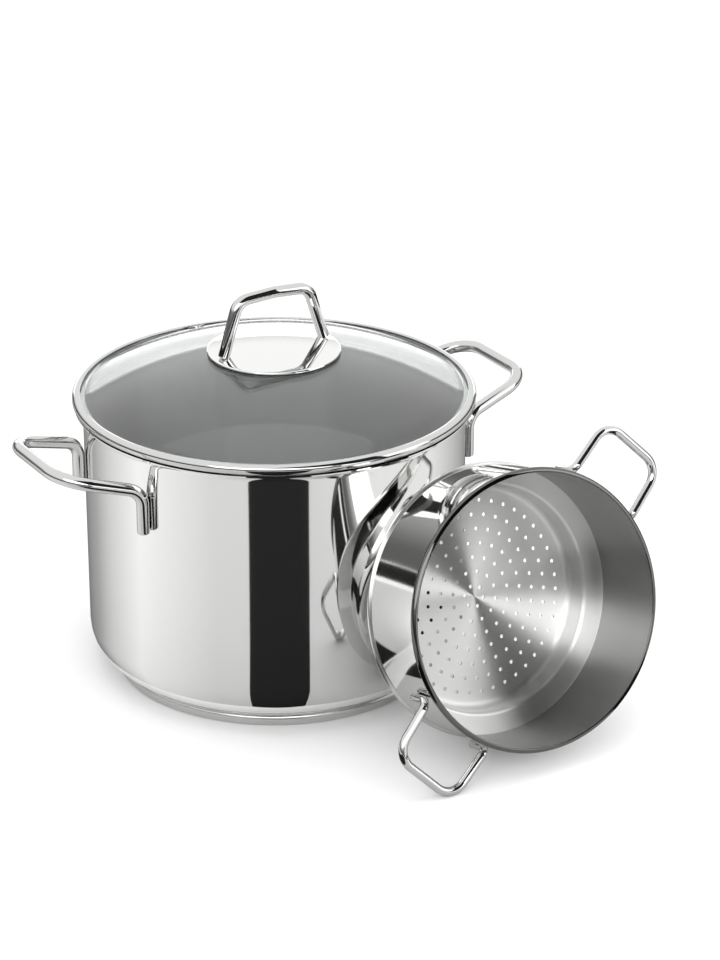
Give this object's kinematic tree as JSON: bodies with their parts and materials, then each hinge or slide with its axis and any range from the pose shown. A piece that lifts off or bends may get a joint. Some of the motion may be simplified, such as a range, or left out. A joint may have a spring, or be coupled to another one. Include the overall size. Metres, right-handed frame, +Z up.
{
  "type": "pasta pot",
  "caption": "Deep round steel cooking pot with wire side handles, a domed glass lid with a wire handle, and a perforated steaming basket that leans on the pot.",
  "frame": {"origin": "centre of the flat underside that the pot stands on", "axes": "+Z up along the pot's axis, X along its two side handles, -Y towards the side where the basket leans"},
  "size_m": [0.3424, 0.3538, 0.2529],
  "materials": {
    "polished_steel": "mirror-polished stainless steel",
    "basket_steel": "stainless steel, polished outside and spun satin inside",
    "base_core": "mill finish, closed in by the base cap",
    "lid_glass": "clear polished tempered glass",
    "silicone": "matt silicone"
  },
  "bodies": {
    "pot": {"pot_body": "polished_steel", "base_cap": "polished_steel", "base_core": "base_core", "pot_handle_right": "polished_steel", "pot_handle_left": "polished_steel"},
    "lid": {"lid_glass": "lid_glass", "vent_eyelet": "polished_steel", "lid_rim": "polished_steel", "plate_gasket": "silicone", "handle_plate": "polished_steel", "lid_handle": "polished_steel", "inner_gasket": "silicone", "clamp_washer": "polished_steel", "handle_stud": "polished_steel", "cap_nut": "polished_steel"},
    "basket": {"basket_shell": "basket_steel", "basket_handle_upper": "polished_steel", "basket_handle_lower": "polished_steel"}
  },
  "joints": [
    {"name": "lid_lift", "type": "slide", "parent": "pot", "child": "lid", "axis": [0, 0, 1], "range_m": [0, 0.15]},
    {"name": "basket_lift", "type": "slide", "parent": "pot", "child": "basket", "axis": [-0.0037, -0.7071, 0.7071], "range_m": [0, 0.15]}
  ]
}
